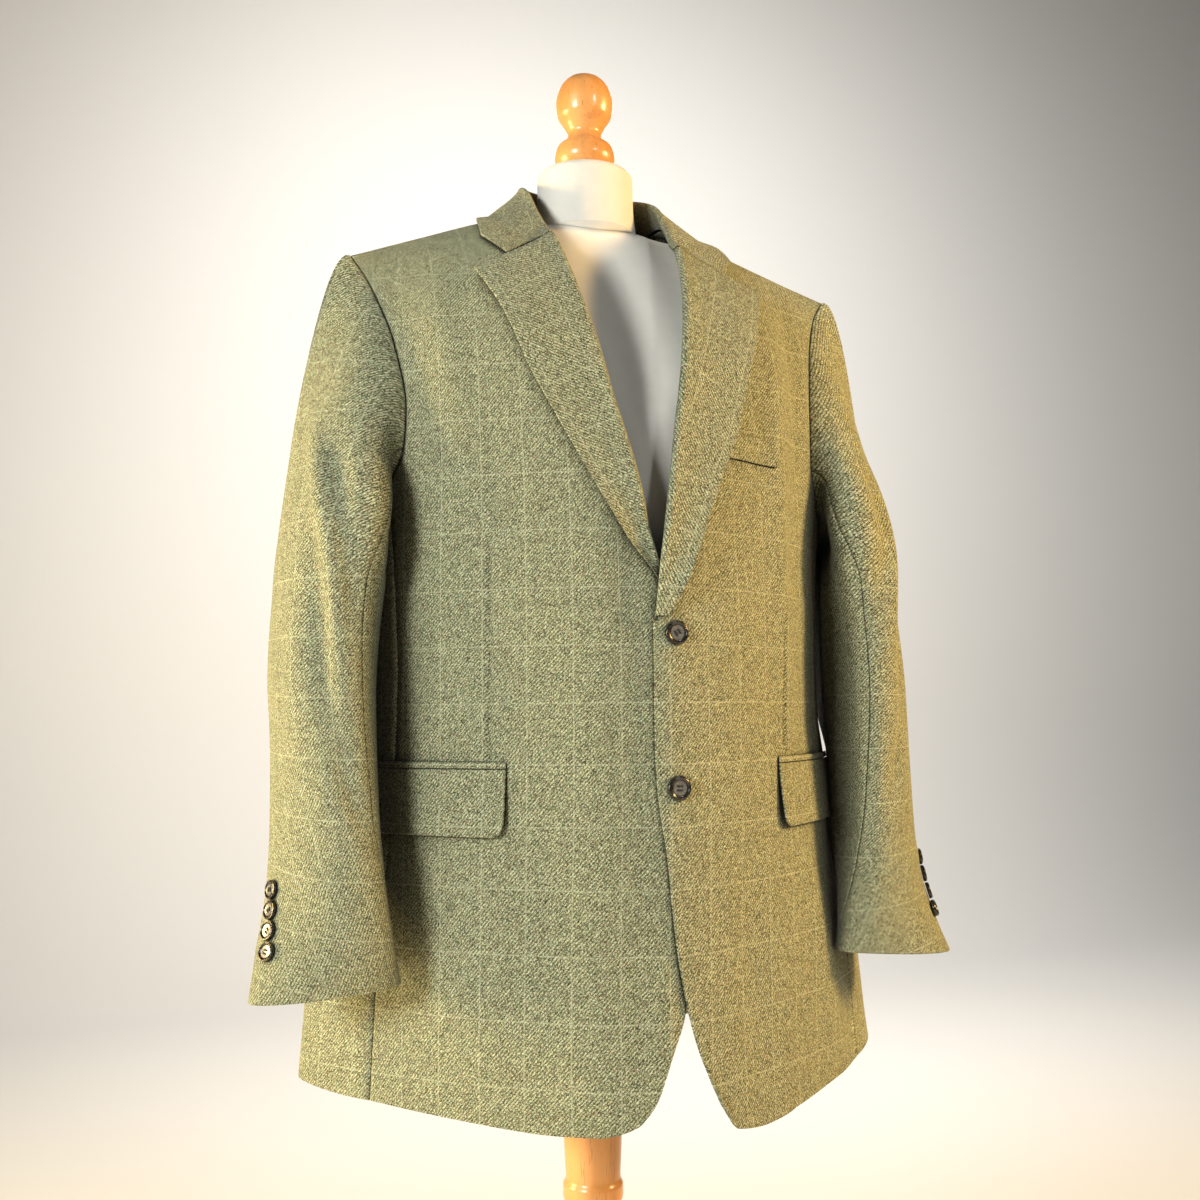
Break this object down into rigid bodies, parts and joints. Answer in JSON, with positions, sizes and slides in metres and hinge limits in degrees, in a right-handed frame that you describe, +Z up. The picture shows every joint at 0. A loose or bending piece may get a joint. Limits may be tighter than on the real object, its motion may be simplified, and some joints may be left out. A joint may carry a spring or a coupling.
{
  "type": "tweed jacket on dress form",
  "caption": "Single-breasted tweed jacket with notch lapels, flap pockets and a chest welt, buttoned on a limbless dress form with a turned wooden stand.",
  "frame": {"origin": "centre of the stand's base on the floor, on the axis of the form", "axes": "+Z up; -Y towards the front of the jacket; +X towards the wearer's left"},
  "size_m": [0.6388, 0.4048, 1.641],
  "materials": {
    "tweed": "heathered olive wool twill with a thin pale windowpane check",
    "horn": "dark horn look, polished",
    "jersey": "plain pale stretch jersey",
    "wood": "honey varnish"
  },
  "bodies": {
    "root": {"front_left": "tweed", "side_left": "tweed", "back_left": "tweed", "lapel_left": "tweed", "top_sleeve_left": "tweed", "under_sleeve_left": "tweed", "flap_left": "tweed", "jet_left": "tweed", "front_right": "tweed", "side_right": "tweed", "back_right": "tweed", "lapel_right": "tweed", "top_sleeve_right": "tweed", "under_sleeve_right": "tweed", "flap_right": "tweed", "jet_right": "tweed", "collar": "tweed", "chest_welt": "tweed", "front_button_1": "horn", "front_button_2": "horn", "cuff_button_left_1": "horn", "cuff_button_left_2": "horn", "cuff_button_left_3": "horn", "cuff_button_left_4": "horn", "cuff_button_right_1": "horn", "cuff_button_right_2": "horn", "cuff_button_right_3": "horn", "cuff_button_right_4": "horn", "torso": "jersey", "neck": "jersey", "finial": "wood", "pole": "wood", "base": "wood"}
  },
  "joints": []
}
